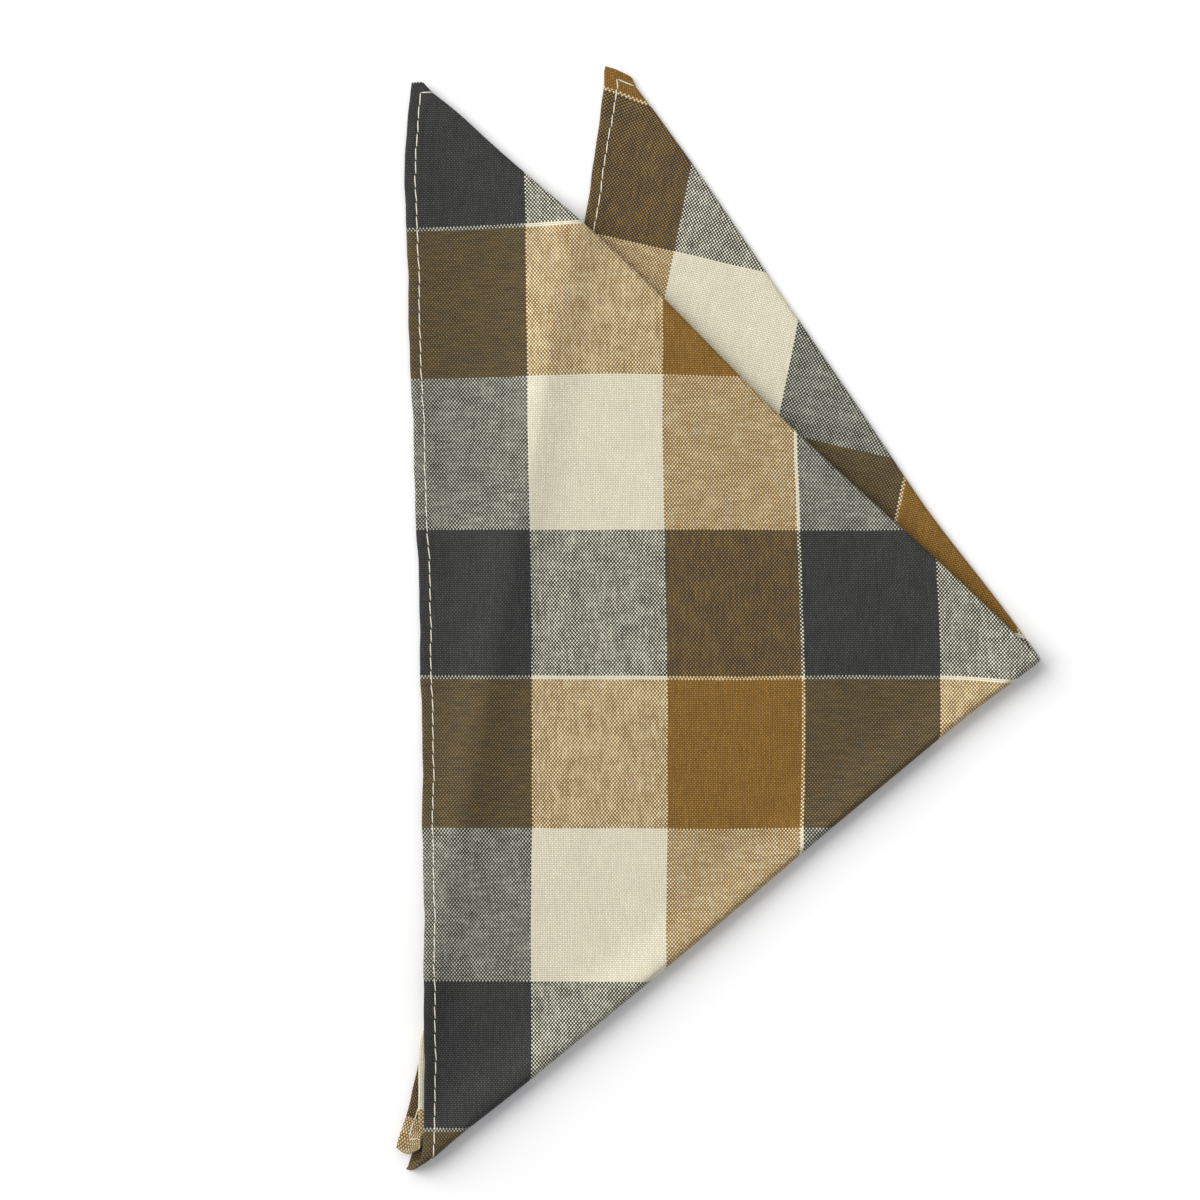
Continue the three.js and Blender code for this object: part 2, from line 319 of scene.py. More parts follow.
TIP = spot(POINT)
NEAR_END = spot([0, LENGTH])
FRONT_RIDGES = [  # from, to, how full
    (spot(ONE_TOP), TIP, 1.0),
    (TIP, NEAR_END, 1.0),
    (spot([0, 0]), NEAR_END, HEM_LIFT),
]
BACK_RIDGES = [
    (spot(ONE_END), TIP, 0.3),
    (TIP, NEAR_END, 1.0),
    (spot([WIDTH, 0]), spot([WIDTH, LENGTH]), HEM_LIFT),
]


def stand(xy, ridges):
    """How high a pair of layers stands, as a share: full at its creases, pressed between."""
    low = np.ones(len(xy))
    for start, end, full in ridges:
        way = end - start
        t = np.clip((xy - start) @ way / (way @ way), 0, 1)
        away = np.hypot(*(xy - start - np.outer(t, way)).T)
        low *= 1 - full * np.exp(-((away / PRESS_REACH) ** 2))
    return PRESSED + (1 - PRESSED) * (1 - low)


def hem_curve(places):
    """A curve through four places on a hem of the back pair: x at a given y."""
    at = [spot(p) for p in places]

    def x_at(y):
        total = 0
        for a in at:
            w = a[0]
            for b in at:
                if b is not a:
                    w = w * (y - b[1]) / (a[1] - b[1])
            total = total + w
        return total

    return x_at


FAR_HEM = hem_curve([[WIDTH, LENGTH * s] for s in HEM_STATIONS])
BOTTOM_HEM = hem_curve([[WIDTH * s, LENGTH] for s in HEM_STATIONS])


def outside(xy):
    """How far places on the front pair lie outside the back pair."""
    x, y = xy.T
    return (np.minimum(FAR_HEM(y), BOTTOM_HEM(y)) - x) * math.cos(HEM_LEAN) - DROP_START


def swelling(xy):
    """How much the soft swells raise the pile, as a share."""
    swell = np.ones(len(xy))
    for x, y, size, reach in SWELLS:
        swell += size * np.exp(-((xy[:, 0] - x) ** 2 + (xy[:, 1] - y) ** 2) / reach**2)
    return swell


def springing(xy, high):
    """How far crease one of the front springs up off the back pair."""
    start, end, _ = FRONT_RIDGES[0]
    way = unit(end - start)
    off = (xy - start) @ np.array([way[1], -way[0]])
    front = np.clip(high / (2 * BEND) - 1, 0, 1)
    return SPRING * front * np.exp(-((off / SPRING_REACH) ** 2))


def middle(q):
    """The middle of the cloth, in place."""
    xy, high = laid(q)
    share = np.where(past_two(q) < 0, np.clip(outside(xy) / DROP_REACH, 0, 1), 0)
    held = 1 - share * share * (3 - 2 * share)
    pair = 4 * BEND
    below = np.minimum(high, pair) * held * stand(xy, BACK_RIDGES)
    above = np.maximum(high - pair, 0) * stand(xy, FRONT_RIDGES)
    z = (below + above) * swelling(xy) * LOFT + springing(xy, high)
    for size, long_x, long_y, start in RIPPLES:
        wave = np.sin(2 * math.pi * (xy[:, 0] / long_x + xy[:, 1] / long_y) + start)
        z += size * wave * np.clip(z / pair, 0, 1)
    return np.column_stack([xy, THICK / 2 + z])


def right_side(q):
    """Away from the cloth's right side, as unit vectors."""
    along, down = np.array([STEP, 0]), np.array([0, STEP])
    a = middle(q + along) - middle(q - along)
    d = middle(q + down) - middle(q - down)
    n = np.cross(d, a)
    return n / np.linalg.norm(n, axis=1)[:, None]


def from_edge(q):
    """Distance from the nearest edge of the flat cloth."""
    sides = [q[:, 0], WIDTH - q[:, 0], q[:, 1], LENGTH - q[:, 1]]
    return np.maximum(np.min(sides, axis=0), 0)


def side_offset(edge, side):
    """From the middle of the cloth to its right side (1) or its wrong side (-1)."""
    round_off = (THICK + HEM_EXTRA) / 2
    short = np.clip(round_off - edge, 0, round_off)
    drop = round_off - np.sqrt(round_off**2 - short**2)
    groove = GROOVE * np.exp(-(((edge - STITCH_LINE) / GROOVE_REACH) ** 2))
    size = THICK / 2 - drop - groove
    if side < 0:
        t = np.clip((HEM_FOLD_END - edge) / (HEM_FOLD_END - HEM_FOLD), 0, 1)
        size = size + HEM_EXTRA * np.sqrt(1 - (1 - t) ** 2)
    return side * size


# ---------------------------------------------------------------- the cut cloth

class FlatCloth:
    """The flat cloth, cut into faces along the lines that the folds need."""

    def __init__(self):
        across, down = self.ticks(WIDTH), self.ticks(LENGTH)
        self.spots = np.array([(u, v) for v in down for u in across])
        n = len(across)
        corners = [j * n + i for j in range(len(down) - 1) for i in range(n - 1)]
        self.faces = [[a, a + 1, a + 1 + n, a + n] for a in corners]

    @staticmethod
    def ticks(size):
        inner = size - 2 * HEM_TICKS[-1]
        n = round(inner / GRID)
        mid = [HEM_TICKS[-1] + inner * i / n for i in range(1, n)]
        return [*HEM_TICKS, *mid, *(size - h for h in reversed(HEM_TICKS))]

    def cut(self, value):
        """Cuts every face along the line where value is 0."""
        at = value(self.spots)
        at[np.abs(at) < NEAR] = 0
        level = at.tolist()
        crossing = {}
        for face in self.faces:
            for a, b in zip(face, face[1:] + face[:1]):
                if level[a] * level[b] < 0:
                    key = (a, b) if level[a] < 0 else (b, a)
                    crossing.setdefault(key, len(crossing))
        if not crossing:
            return
        ends = np.array(list(crossing))
        found = self.zero(value, self.spots[ends[:, 0]], self.spots[ends[:, 1]])
        first = len(self.spots)
        self.spots = np.vstack([self.spots, found])
        level += [0.0] * len(crossing)
        self.faces = [
            part for face in self.faces for part in self.split(face, level, crossing, first)
        ]

    @staticmethod
    def zero(value, low, high):
        """Where value is 0, between places where it is below 0 and places where it is above."""
        for _ in range(HALVINGS):
            half = (low + high) / 2
            before = (value(half) < 0)[:, None]
            low, high = np.where(before, half, low), np.where(before, high, half)
        return (low + high) / 2

    @staticmethod
    def split(face, level, crossing, first):
        """The two parts of a face that a line crosses, or the whole face."""
        signs = [level[a] for a in face]
        if min(signs) >= 0 or max(signs) <= 0:
            return [face]
        ring = []
        for a, b in zip(face, face[1:] + face[:1]):
            ring.append(a)
            if level[a] * level[b] < 0:
                ring.append(first + crossing[(a, b) if level[a] < 0 else (b, a)])
        parts = [[a for a in ring if level[a] <= 0], [a for a in ring if level[a] >= 0]]
        return [part for part in parts if len(part) > 2]

    def cut_all(self):
        """Cuts along both creases, and where the front pair dips to the surface."""

        def past_one(q):
            return (q - ONE_TOP) @ ONE_OUT + sum(hooks(q))

        for value, half, steps in (
            (past_one, HALF_ONE, ARC_STEPS_ONE),
            (past_two, HALF_TWO, ARC_STEPS_TWO),
        ):
            lines = [half * (2 * i / steps - 1) for i in range(steps + 1)]
            lines += [side * (half + band) for band in BANDS for side in (-1, 1)]
            for line in lines:
                self.cut(lambda q: value(q) - line)
        for share in DROP_LINES:
            self.cut(lambda q: np.where(
                past_two(q) < 0, outside(laid(q)[0]) - DROP_REACH * share, NOWHERE
            ))

    def triangles(self):
        self.flat = self.spots.tolist()
        return [t for face in self.faces for t in self.fan(face)]

    def fan(self, face):
        """Splits a face into triangles, each time at its best-shaped corner."""
        ring = list(face)
        out = []
        while len(ring) > 3:
            scores = [self.score(ring, i) for i in range(len(ring))]
            best = scores.index(max(scores))
            out.append((ring[best - 1], ring[best], ring[(best + 1) % len(ring)]))
            ring.pop(best)
        out.append(tuple(ring))
        return out

    def score(self, ring, i):
        """How good a corner is to cut off: the shape of its triangle, and of what that leaves."""
        n = len(ring)
        rest = ring[:i] + ring[i + 1 :]
        if n > 4 and self.all_flat(rest):
            return -1
        score = self.shape(ring[i - 1], ring[i], ring[(i + 1) % n])
        return min(score, self.shape(*rest)) if n == 4 else score

    def all_flat(self, ring):
        n = len(ring)
        return all(self.shape(ring[i - 2], ring[i - 1], ring[i]) < HAIR for i in range(n))

    def shape(self, a, b, c):
        """How near a triangle is to a regular one. 0 or less has no width."""
        (ax, ay), (bx, by), (cx, cy) = self.flat[a], self.flat[b], self.flat[c]
        area = (bx - ax) * (cy - ay) - (by - ay) * (cx - ax)
        rim = math.hypot(bx - ax, by - ay) + math.hypot(cx - bx, cy - by)
        rim += math.hypot(ax - cx, ay - cy)
        return area / rim**2


def arc_from_rim(edge):
    """Length over the rounded edge, from its rim to a distance in from the edge."""
    r = (THICK + HEM_EXTRA) / 2
    roll = r * np.arccos(np.clip(1 - edge / r, 0, 1))
    return np.where(edge < r, roll, edge - r + r * math.pi / 2)


def woven_place(q, side, in_hem):
    """Where the yarns of a place are on the cloth before it was hemmed, in millimetres."""
    r = (THICK + HEM_EXTRA) / 2
    spare = r * (math.pi / 2 - 1)
    at = q.copy()
    for axis, size in ((0, WIDTH), (1, LENGTH)):
        for far in (0, 1):
            edge = np.maximum(np.abs(q[:, axis] - far * size), 0)
            if side > 0:
                inside = arc_from_rim(edge) - spare
                use = edge < r
            else:
                inside = -arc_from_rim(edge) - spare
                use = in_hem & (edge < HEM_FOLD_END + HAIR)
            moved = np.where(far, size - inside, inside)
            at[:, axis] = np.where(use, moved, at[:, axis])
    u, v = at.T
    return np.column_stack([u + WARP_LEAN * v, v - WEFT_LEAN * u])


def add_object(name, data):
    added = bpy.data.objects.new(name, data)
    bpy.context.scene.collection.objects.link(added)
    return added


def make_cloth():
    """Both sides of the cloth, joined round its rim."""
    cloth = FlatCloth()
    cloth.cut_all()
    flat = np.array(cloth.triangles())
    used, flat = np.unique(flat, return_inverse=True)
    flat = flat.reshape(-1, 3)
    q = cloth.spots[used]
    mids, outs, edge = middle(q), right_side(q), from_edge(q)
    front = mids + outs * side_offset(edge, 1)[:, None]
    back = mids + outs * side_offset(edge, -1)[:, None]
    n = len(q)
    rim = edge < ON_RIM
    twin = np.where(rim, np.arange(n), 0)
    twin[~rim] = n + np.arange(np.count_nonzero(~rim))
    places = np.vstack([front, back[~rim]])
    faces = np.vstack([flat[:, [0, 2, 1]], twin[flat]])
    mesh = bpy.data.meshes.new("handkerchief_cloth")
    mesh.from_pydata((places * MM).tolist(), [], faces.tolist())
    add_maps(mesh, q, flat)
    mesh.shade_smooth()
    return add_object("handkerchief_cloth", mesh)


def add_maps(mesh, q, flat):
    """One map carries the weave, in millimetres. The other lays both sides out side by side."""
    size = max(WIDTH, LENGTH)
    weave, bake = [], []
    for side, corners in ((1, flat[:, [0, 2, 1]]), (-1, flat)):
        at = q[corners.ravel()]
        centre = q[corners].mean(axis=1)
        in_hem = np.repeat(from_edge(centre) < HEM_FOLD_END, 3)
        woven = woven_place(at, side, in_hem)
        if side < 0:
            woven[:, 1] += WEFT_PITCH  # on the wrong side, the other yarn is on top
        weave.append(woven)
        share = at / size / 2
        bake.append(np.column_stack([share[:, 0] + (0 if side > 0 else 0.5), 2 * share[:, 1]]))
    for name, rows in (("Weave", weave), ("OFBake", bake)):
        layer = mesh.uv_layers.new(name=name)
        layer.data.foreach_set("uv", np.vstack(rows).astype(np.float32).ravel())


# ---------------------------------------------------------------- the sewing

def sewing_line():
    """The corners of the line of stitching on the flat cloth, and each side's stitches."""
    s = STITCH_LINE
    corners = [(s, s), (WIDTH - s, s), (WIDTH - s, LENGTH - s), (s, LENGTH - s)]
    for a, b in zip(corners, corners[1:] + corners[:1]):
        a, b = np.array(a), np.array(b)
        long = np.hypot(*(b - a))
        count = round(long / STITCH)
        way = (b - a) / long
        yield a, way, np.array([way[1], -way[0]]), long / count, count


def make_stitching():
    """Each stitch is a thread that rises from one needle hole and dips into the next."""
    rng = np.random.default_rng(STITCH_SEED)
    steps = np.array(THREAD_STEPS)
    rise = np.sqrt(np.sin(math.pi * steps))
    places, faces, maps = [], [], []
    for side in (1, -1):
        for start, way, across, pitch, count in sewing_line():
            for i in range(count):
                wander = rng.uniform(-STITCH_WANDER, STITCH_WANDER, 2)
                begin = pitch * i + STITCH_GAP / 2 + wander[0]
                end = pitch * (i + 1) - STITCH_GAP / 2 + wander[1]
                lean = STITCH_SLANT * (2 * steps - 1) * side
                lean = lean + rng.uniform(-LEAN_WANDER, LEAN_WANDER)
                q = start + np.outer(begin + (end - begin) * steps, way) + np.outer(lean, across)
                add_thread(q, side, rise, places, faces, maps)
    mesh = bpy.data.meshes.new("hem_stitching")
    mesh.from_pydata((np.vstack(places) * MM).tolist(), [], faces)
    layer = mesh.uv_layers.new(name="Thread")
    layer.data.foreach_set("uv", np.array(maps, np.float32).ravel())
    mesh.shade_smooth()
    return add_object("hem_stitching", mesh)


def thread_rings(q, side, rise):
    """The middle of one stitch, and the rings of places round it."""
    out = right_side(q) * side
    proud = np.abs(side_offset(from_edge(q), side)) + THREAD_PROUD * rise
    line = middle(q) + out * (proud - THREAD_DIP * (1 - rise))[:, None]
    way = np.gradient(line, axis=0)
    way /= np.linalg.norm(way, axis=1)[:, None]
    across = np.cross(out, way)
    across /= np.linalg.norm(across, axis=1)[:, None]
    up = np.cross(way, across)
    swell = THREAD_END + (1 - THREAD_END) * rise
    rings = [
        line + across * (math.cos(t) * THREAD_WIDE / 2 * swell)[:, None]
        + up * (math.sin(t) * THREAD_HIGH / 2 * swell)[:, None]
        for t in 2 * math.pi * np.arange(THREAD_RING) / THREAD_RING
    ]
    return line, np.stack(rings, axis=1).reshape(-1, 3)


def add_thread(q, side, rise, places, faces, maps):
    """One stitch: a tube that is closed at both ends."""
    line, rings = thread_rings(q, side, rise)
    first = sum(len(p) for p in places)
    for spots in (rings, line[[0, -1]]):
        spots[:, 2] = np.maximum(spots[:, 2], THREAD_LOWEST)
        places.append(spots)
    k = THREAD_RING
    last = len(line) - 1
    lengths = np.linalg.norm(np.diff(line, axis=0), axis=1)
    run = np.concatenate([[0], np.cumsum(lengths)])
    for j in range(last):
        for i in range(k):
            a, b = first + j * k + i, first + j * k + (i + 1) % k
            faces.append((a, b, b + k, a + k))
            maps += [(i / k, run[j]), ((i + 1) / k, run[j])]
            maps += [((i + 1) / k, run[j + 1]), (i / k, run[j + 1])]
    for cap, j in ((first + len(rings), 0), (first + len(rings) + 1, last)):
        for i in range(k):
            a, b = first + j * k + i, first + j * k + (i + 1) % k
            faces.append((b, a, cap) if j == 0 else (a, b, cap))
            maps += [((i + 1) / k, run[j]), (i / k, run[j]), ((i + 0.5) / k, run[j])]


# ---------------------------------------------------------------- the materials

MIX_SOCKETS = (0, 6, 7)  # the share and the two colours of a mix
MIX_RESULT = 2


class Graph:
    """A material's nodes, made and joined by short calls."""

    def __init__(self, name):
        self.material = bpy.data.materials.new(name)
        self.material.use_nodes = True
        self.tree = self.material.node_tree
        self.tree.nodes.clear()

    def add(self, kind, inputs=(), **settings):
        node = self.tree.nodes.new(kind)
        for name, value in settings.items():
            setattr(node, name, value)
        for key, value in dict(inputs).items():
            self.put(node.inputs[key], value)
        return node

    def put(self, socket, value):
        if isinstance(value, bpy.types.NodeSocket):
            self.tree.links.new(value, socket)
        else:
            socket.default_value = value

    def math(self, operation, a, b=0.0, c=0.0):
        node = self.add("ShaderNodeMath", {0: a, 1: b, 2: c}, operation=operation)
        return node.outputs[0]

    def total(self, *terms):
        """Adds up values, each with its weight."""
        out = 0.0
        for value, weight in terms:
            out = self.math("MULTIPLY_ADD", value, weight, out)
        return out

    def mix(self, share, a, b, kind="MIX"):
        node = self.add("ShaderNodeMix", data_type="RGBA", blend_type=kind)
        for socket, value in zip(MIX_SOCKETS, (share, a, b)):
            self.put(node.inputs[socket], value)
        return node.outputs[MIX_RESULT]

    def multiply(self, a, b):
        return self.mix(1.0, a, b, "MULTIPLY")

    def place(self, x, y, z=0.0):
        return self.add("ShaderNodeCombineXYZ", {0: x, 1: y, 2: z}).outputs[0]

    def mapped(self, name):
        """The two numbers of a place in one of the mesh's maps."""
        at = self.add("ShaderNodeUVMap", uv_map=name).outputs[0]
        parts = self.add("ShaderNodeSeparateXYZ", {0: at})
        return parts.outputs[0], parts.outputs[1]

    def noise(self, x, y, detail=2.0):
        """Smooth unevenness, about 0."""
        node = self.add(
            "ShaderNodeTexNoise",
            {"Vector": self.place(x, y), "Scale": 1.0, "Detail": detail, "Roughness": 0.5},
            noise_dimensions="2D",
        )
        return self.math("SUBTRACT", node.outputs[0], 0.5)

    def steps(self, value, stops):
        """A value or colour that changes in steps: stops are (where, colour)."""
        node = self.add("ShaderNodeValToRGB", {0: value})
        ramp = node.color_ramp
        ramp.interpolation = "CONSTANT"
        while len(ramp.elements) < len(stops):
            ramp.elements.new(1.0)
        for element, (where, colour) in zip(ramp.elements, stops):
            element.position = where
            element.color = colour
        return node.outputs[0]

    def look_up(self, number, table, other=(1, 1, 1)):
        """The colour that a table gives for a number."""
        half = 0.5 / MOST
        stops = [(max(0, n / MOST - half), (*table.get(n, other), 1)) for n in range(int(MOST))]
        return self.steps(number, stops)

    def ramp(self, value, low, high, to_low=0.0, to_high=1.0):
        """A value's share of the way from low to high, eased at both ends."""
        node = self.add(
            "ShaderNodeMapRange",
            {"Value": value, "From Min": low, "From Max": high, "To Min": to_low, "To Max": to_high},
            interpolation_type="SMOOTHSTEP",
        )
        return node.outputs[0]

    def finish(self, **shader):
        """Joins a Principled shader to the output. Names use _ where its sockets use a space."""
        inputs = {name.replace("_", " "): value for name, value in shader.items()}
        surface = self.add("ShaderNodeBsdfPrincipled", inputs)
        self.add("ShaderNodeOutputMaterial", {"Surface": surface.outputs[0]})
        return self.material


# Yarn colours, linear, by number. Where two cross, each pair takes its own tint: partly the pair's
# own colour together, partly painted shade that darkens crossings of unlike yarns.
GREY, CREAM, OCHRE = 0, 1, 2
YARNS = {
    GREY: (0.0335, 0.0335, 0.0325),
    CREAM: (0.635, 0.595, 0.458),
    OCHRE: (0.191, 0.099, 0.0202),
}
# painted shade, partly: these tints darken crossings of unlike yarns as well as giving each pair its
# colour
CROSSING_TINTS_AND_SHADE = {  # by end and pick: one tint where the end is on top, one where the pick is
    (CREAM, GREY): ((0.955, 0.985, 1.02), (0.50, 0.50, 0.50)),
    (GREY, CREAM): ((0.40, 0.40, 0.40), (0.755, 0.80, 0.845)),
    (CREAM, OCHRE): ((1.00, 0.91, 0.74), (1.00, 0.91, 0.74)),
    (OCHRE, CREAM): ((0.74, 0.68, 0.56), (1.07, 0.98, 0.80)),
    (GREY, OCHRE): ((0.67, 0.75, 0.76), (0.95, 1.13, 1.65)),
    (OCHRE, GREY): ((0.85, 0.96, 1.17), (0.85, 0.96, 1.17)),
}
EVEN_COVER = 0.5
COVERS = {  # how far the ends hide the picks, where it isn't even
    (CREAM, GREY): 0.40,
    (GREY, CREAM): 0.60,
    (OCHRE, CREAM): 0.58,
}
DEPTHS = {GREY: (1.5,) * 3, CREAM: (0.5,) * 3, OCHRE: (1.2,) * 3}  # how strongly each yarn takes the weave's painted shade and highlights, and its unevenness
MOST = 10.0  # numbers are shares of this in the nodes
GAP_SHADE = 0.40  # painted shade between the yarns
# painted highlight on each yarn's crown
CROWN_SHADE = 1.36
CROWN_FULL = 0.85  # the crown's height where its painted highlight is strongest
CROWN_ROUND = 0.6
ROW_SHADE = 0.64  # painted shade between one pick and the next
# a faint painted highlight on each pick's crown
ROW_CROWN_SHADE = 1.06
ROW_FULL = 0.8
WARP_SHADE = 1.22  # painted highlight on the ends and painted shade on the picks, as the ends stand a little prouder than the picks
WEFT_SHADE = 0.80
WEFT_FULL = -0.8
WANDER = 0.7  # millimetres, twice as far as the yarns wander at most
ENDS_WANDER = (30, 30)  # millimetres, how long the wander is across and along the yarns
PICKS_WANDER = (26, 34)
SLUB = 5  # millimetres, the length of a yarn's thicker and thinner places
PATCH = 6  # millimetres, patches where ends or picks show more
SLUB_COVER = 0.6  # how far each makes one yarn hide the other
PATCH_COVER = 0.3
ENDS_COVER = 0.01
SOFT_EDGE = 0.1  # how softly one yarn gives way to the other
SLUB_LIGHT = 0.30  # how far each makes the colour uneven
KNOT_LIGHT = 0.35
PATCH_LIGHT = 0.12
UNLIKE = 1.7  # a step in the unevenness from one yarn to the next
KNOT_UNLIKE = 0.83
CLOTH_BUMP = 0.00012

# the thread's colour in painted shade, in the hollows of its plies and fuzz, and lit, on their
# crowns
THREAD_SHADED = (0.50, 0.42, 0.29, 1)
THREAD_LIT = (0.93, 0.89, 0.77, 1)
PLIES = 2
TWIST = 0.9  # millimetres of thread in one turn of its plies
FUZZ = (7, 5)  # how fine its fuzz is, round it and along it
THREAD_BUMP = 0.00006


class Weave(Graph):
    """Plain weave of coloured yarns, counted from the cloth's map."""

    def __init__(self, name):
        super().__init__(name)
        self.u, self.v = self.mapped("Weave")
        self.count_yarns()
        self.cross_yarns()

    def share(self, x, length):
        return self.math("DIVIDE", x, length)

    def yarn(self, at, start, pitch):
        """The number of the yarn at a place, and the wave that its crown follows."""
        turn = self.math("DIVIDE", self.math("SUBTRACT", at, start), pitch)
        half_turns = self.math("MULTIPLY", self.math("SUBTRACT", turn, 0.5), math.pi)
        return self.math("FLOOR", turn), self.math("COSINE", half_turns)

    def bands(self, count, band, order):
        """The number of the yarn's colour: a pale line, then three bands, over and over."""
        turn = self.math("DIVIDE", self.math("WRAP", count, 3 * band, 0), 3 * band)
        ends = [0, PALE_LINE - 0.5, band + 0.5, 2 * band + 0.5]
        colours = [(n / MOST,) * 3 + (1,) for n in (CREAM, *order)]
        return self.steps(turn, [(end / (3 * band), c) for end, c in zip(ends, colours)])

    def count_yarns(self):
        """The yarns wander a little. Each has its number, and its colour by its band."""
        u, v, share = self.u, self.v, self.share
        drift_u = self.noise(share(u, ENDS_WANDER[0]), share(v, ENDS_WANDER[1]))
        drift_v = self.noise(share(v, PICKS_WANDER[0]), share(u, PICKS_WANDER[1]))
        bent_u = self.total((u, 1.0), (drift_u, WANDER))
        bent_v = self.total((v, 1.0), (drift_v, WANDER))
        self.warp_count, self.warp_wave = self.yarn(bent_u, WARP_START, WARP_PITCH)
        self.weft_count, self.weft_wave = self.yarn(bent_v, WEFT_START, WEFT_PITCH)
        self.warp = self.bands(self.warp_count, WARP_COUNT, (GREY, CREAM, OCHRE))
        self.weft = self.bands(self.weft_count, WEFT_COUNT, (OCHRE, CREAM, GREY))
        self.pair = self.total((self.warp, 1.0), (self.weft, 3.0))

    def cross_yarns(self):
        """The sign of the two waves' product says which yarn is on top."""
        ends = self.math("MULTIPLY", self.warp_count, UNLIKE)
        picks = self.math("MULTIPLY", self.weft_count, UNLIKE)
        self.thick_warp = self.noise(ends, self.share(self.v, SLUB))
        self.thick_weft = self.noise(picks, self.share(self.u, SLUB))
        self.patches = self.noise(self.share(self.u, PATCH), self.share(self.v, PATCH))
        covers = {a + 3 * b: (COVERS[a, b],) * 3 for a, b in COVERS}
        self.over = self.total(
            (self.math("MULTIPLY", self.warp_wave, self.weft_wave), 1.0),
            (self.thick_warp, SLUB_COVER),
            (self.thick_weft, -SLUB_COVER),
            (self.patches, PATCH_COVER),
            (self.look_up(self.pair, covers, (EVEN_COVER,) * 3), 1.0),
            (ENDS_COVER - EVEN_COVER, 1.0),
        )
        self.warp_top = self.ramp(self.over, -SOFT_EDGE, SOFT_EDGE)

    def colour(self):
        """The colour of the yarn on top, with the tint of the pair that crosses, which holds painted
        shade as well as colour.
        """
        end_tint, pick_tint = (
            self.look_up(self.pair, {a + 3 * b: CROSSING_TINTS_AND_SHADE[a, b][i] for a, b in CROSSING_TINTS_AND_SHADE}) for i in (0, 1)
        )
        # painted shade, partly: the pair's tint darkens crossings of unlike yarns
        return self.mix(
            self.warp_top,
            self.multiply(self.look_up(self.weft, YARNS), pick_tint),
            self.multiply(self.look_up(self.warp, YARNS), end_tint),
        )

    def light(self, crown):
        """Painted shade between the yarns and between the picks and painted highlight on their
        crowns, painted highlight on the ends and painted shade on the picks; fibres and slubs make
        each yarn uneven too.
        """
        # painted shade between the yarns, painted highlight on their crowns
        gap_shade_crown_highlight = self.ramp(crown, 0.0, CROWN_FULL, GAP_SHADE, CROWN_SHADE)
        # painted highlight where an end is on top, painted shade where a pick is
        side = self.ramp(self.over, WEFT_FULL, 0.0, WEFT_SHADE, WARP_SHADE)
        ends = self.math("MULTIPLY", self.warp_count, KNOT_UNLIKE)
        picks = self.math("MULTIPLY", self.weft_count, KNOT_UNLIKE)
        knots = self.noise(ends, picks, 1)
        slub = self.math("ADD", self.thick_warp, self.thick_weft)
        light = self.total(
            (slub, SLUB_LIGHT), (knots, KNOT_LIGHT), (self.patches, PATCH_LIGHT), (1.0, 1.0)
        )
        wave = self.math("ABSOLUTE", self.weft_wave)
        # painted shade between one pick and the next, faint painted highlight on each pick's crown
        rows = self.ramp(wave, 0.0, ROW_FULL, ROW_SHADE, ROW_CROWN_SHADE)
        light = self.math("MULTIPLY", light, gap_shade_crown_highlight)
        light = self.math("MULTIPLY", light, self.math("MULTIPLY", side, rows))
        # dark yarns take the painted shade and highlights more strongly than pale ones
        depths = self.look_up(self.weft, DEPTHS), self.look_up(self.warp, DEPTHS)
        return self.math("POWER", light, self.mix(self.warp_top, *depths))


def cotton_material():
    g = Weave("cotton_check")
    crown = g.math("POWER", g.math("ABSOLUTE", g.over), CROWN_ROUND)
    light = g.light(crown)
    bump = g.add("ShaderNodeBump", {"Strength": 0.6, "Distance": CLOTH_BUMP, "Height": crown})
    return g.finish(
        # the base colour carries the weave's painted shade and highlights as well as the yarns'
        # unevenness
        Base_Color=g.multiply(g.colour(), g.place(light, light, light)),
        Roughness=0.75,
        Normal=bump.outputs[0],
        Specular_IOR_Level=0.16,
    )


def thread_material():
    """Pale two-ply cotton thread, with its twist, and painted shade in the hollows of its plies and
    fuzz.
    """
    g = Graph("sewing_thread")
    turn, run = g.mapped("Thread")
    twisted = g.math("ADD", turn, g.math("DIVIDE", run, TWIST))
    ply = g.math("SINE", g.math("MULTIPLY", twisted, 2 * PLIES * math.pi))
    fuzz = g.noise(g.math("MULTIPLY", turn, FUZZ[0]), g.math("MULTIPLY", run, FUZZ[1]), 3)
    high = g.math("ADD", g.math("MULTIPLY", ply, 0.5), fuzz)
    bump = g.add("ShaderNodeBump", {"Strength": 0.5, "Distance": THREAD_BUMP, "Height": high})
    return g.finish(
        # painted shade in the hollows between the plies and fuzz, lighter on their crowns
        Base_Color=g.mix(g.ramp(high, -0.9, 0.6), THREAD_SHADED, THREAD_LIT),
        Roughness=0.6,
        Normal=bump.outputs[0],
        Specular_IOR_Level=0.35,
        Sheen_Weight=0.2,
        Sheen_Roughness=0.4,
    )


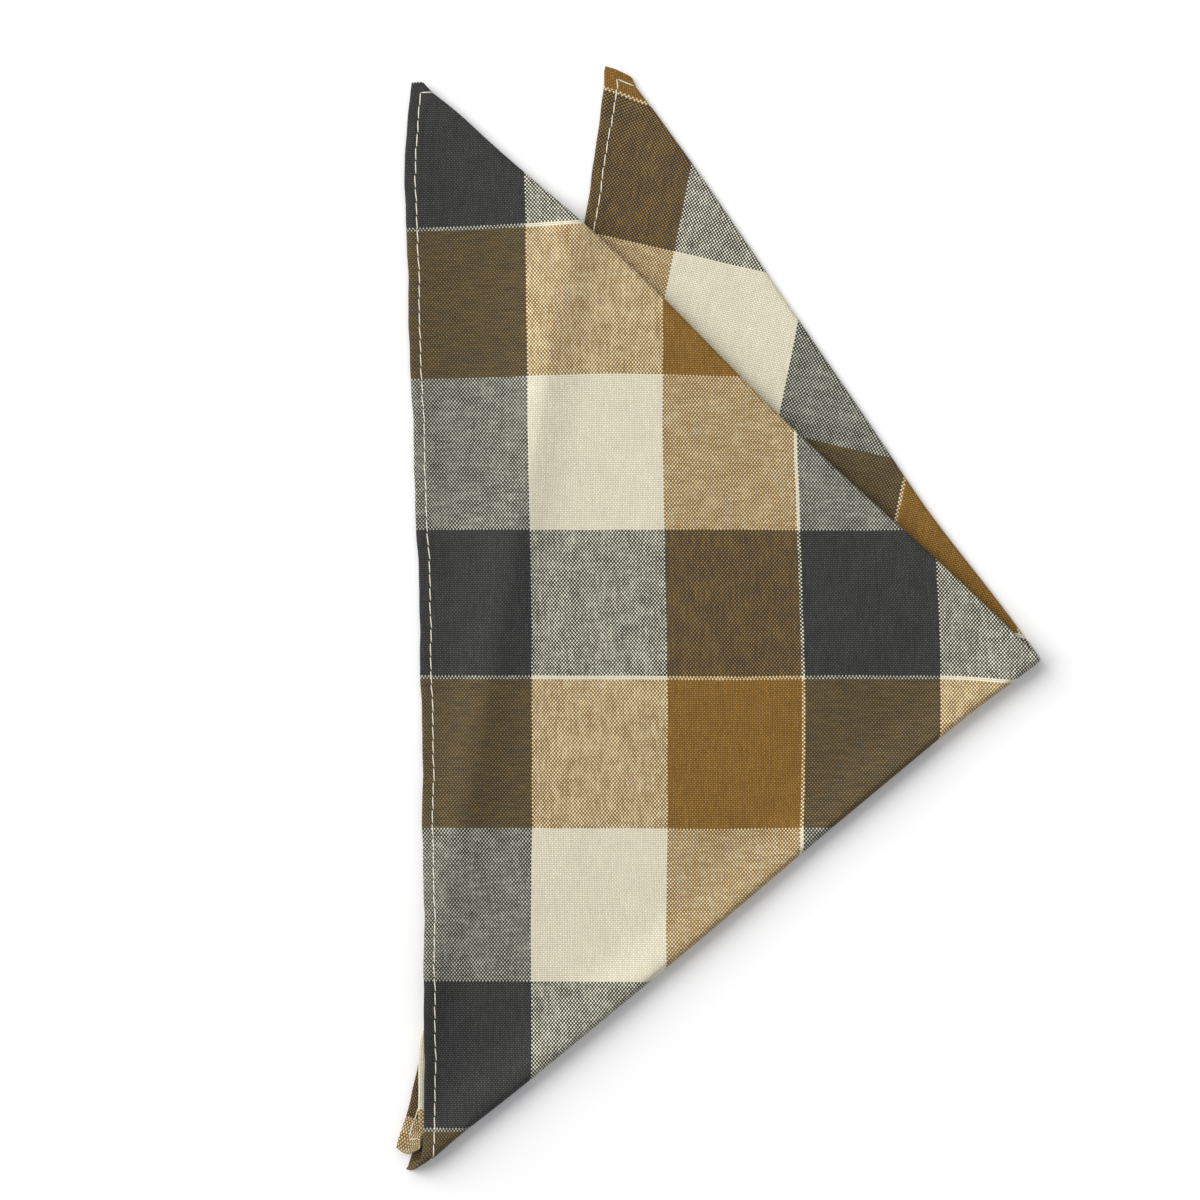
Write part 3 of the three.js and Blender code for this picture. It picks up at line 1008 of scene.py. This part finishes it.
def paper_material():
    g = Graph("pale_floor")
    at = g.add("ShaderNodeTexCoord").outputs["Object"]
    noise = g.add("ShaderNodeTexNoise", {"Vector": at, "Scale": FLOOR_GRAIN, "Detail": 2.0})
    colour = g.mix(g.ramp(noise.outputs[0], 0.3, 0.7), FLOOR_DARK, FLOOR_LIGHT)
    return g.finish(Base_Color=colour, Roughness=0.9, Specular_IOR_Level=0.1)


# ---------------------------------------------------------------- the studio

def make_floor():
    bpy.ops.mesh.primitive_plane_add(size=FLOOR_WIDE, location=(0, 0, FLOOR_AT))
    floor = bpy.context.object
    floor.name = "floor"
    floor.data.materials.append(paper_material())


def add_lamp(name, kind, strength, at, to=(0, 0, 0)):
    """A lamp at one place that shines towards another."""
    lamp = bpy.data.lights.new(name, kind)
    lamp.energy = strength
    holder = add_object(name, lamp)
    holder.location = at
    holder.rotation_euler = (Vector(at) - Vector(to)).to_track_quat("Z", "Y").to_euler()
    return lamp


def make_light():
    """Light from all round, a very broad soft lamp, and a weak one past the two upper tips."""
    world = bpy.data.worlds.new("studio")
    world.use_nodes = True
    bpy.context.scene.world = world
    background = world.node_tree.nodes["Background"]
    background.inputs["Color"].default_value = SKY_COLOUR
    background.inputs["Strength"].default_value = SKY
    level = math.cos(KEY_HIGH)
    key_at = (level * math.cos(KEY_FROM), level * math.sin(KEY_FROM), math.sin(KEY_HIGH))
    key = add_lamp("soft_key", "SUN", KEY, key_at)
    key.angle = KEY_WIDE
    key.color = KEY_COLOUR
    top = add_lamp("top_lamp", "AREA", TOP_LAMP, TOP_LAMP_AT, TOP_LAMP_TO)
    top.shape = "DISK"
    top.size = TOP_LAMP_WIDE


def make_camera():
    """Straight above, with a long lens, as in the photograph."""
    data = bpy.data.cameras.new("camera")
    data.sensor_width = SENSOR
    data.lens = data.sensor_width * CAMERA_HIGH / PHOTO_WIDE
    camera = add_object("camera", data)
    camera.location = (PHOTO_MIDDLE[0] * MM, PHOTO_MIDDLE[1] * MM, CAMERA_HIGH * MM)
    bpy.context.scene.camera = camera


def main():
    make_camera()
    make_light()
    make_floor()
    bpy.context.scene.view_settings.view_transform = "Standard"
    cloth = make_cloth()
    cloth.data.materials.append(cotton_material())
    stitching = make_stitching()
    stitching.data.materials.append(thread_material())
    for piece in (cloth, stitching):
        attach(piece, "root")
    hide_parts("handkerchief")


main()
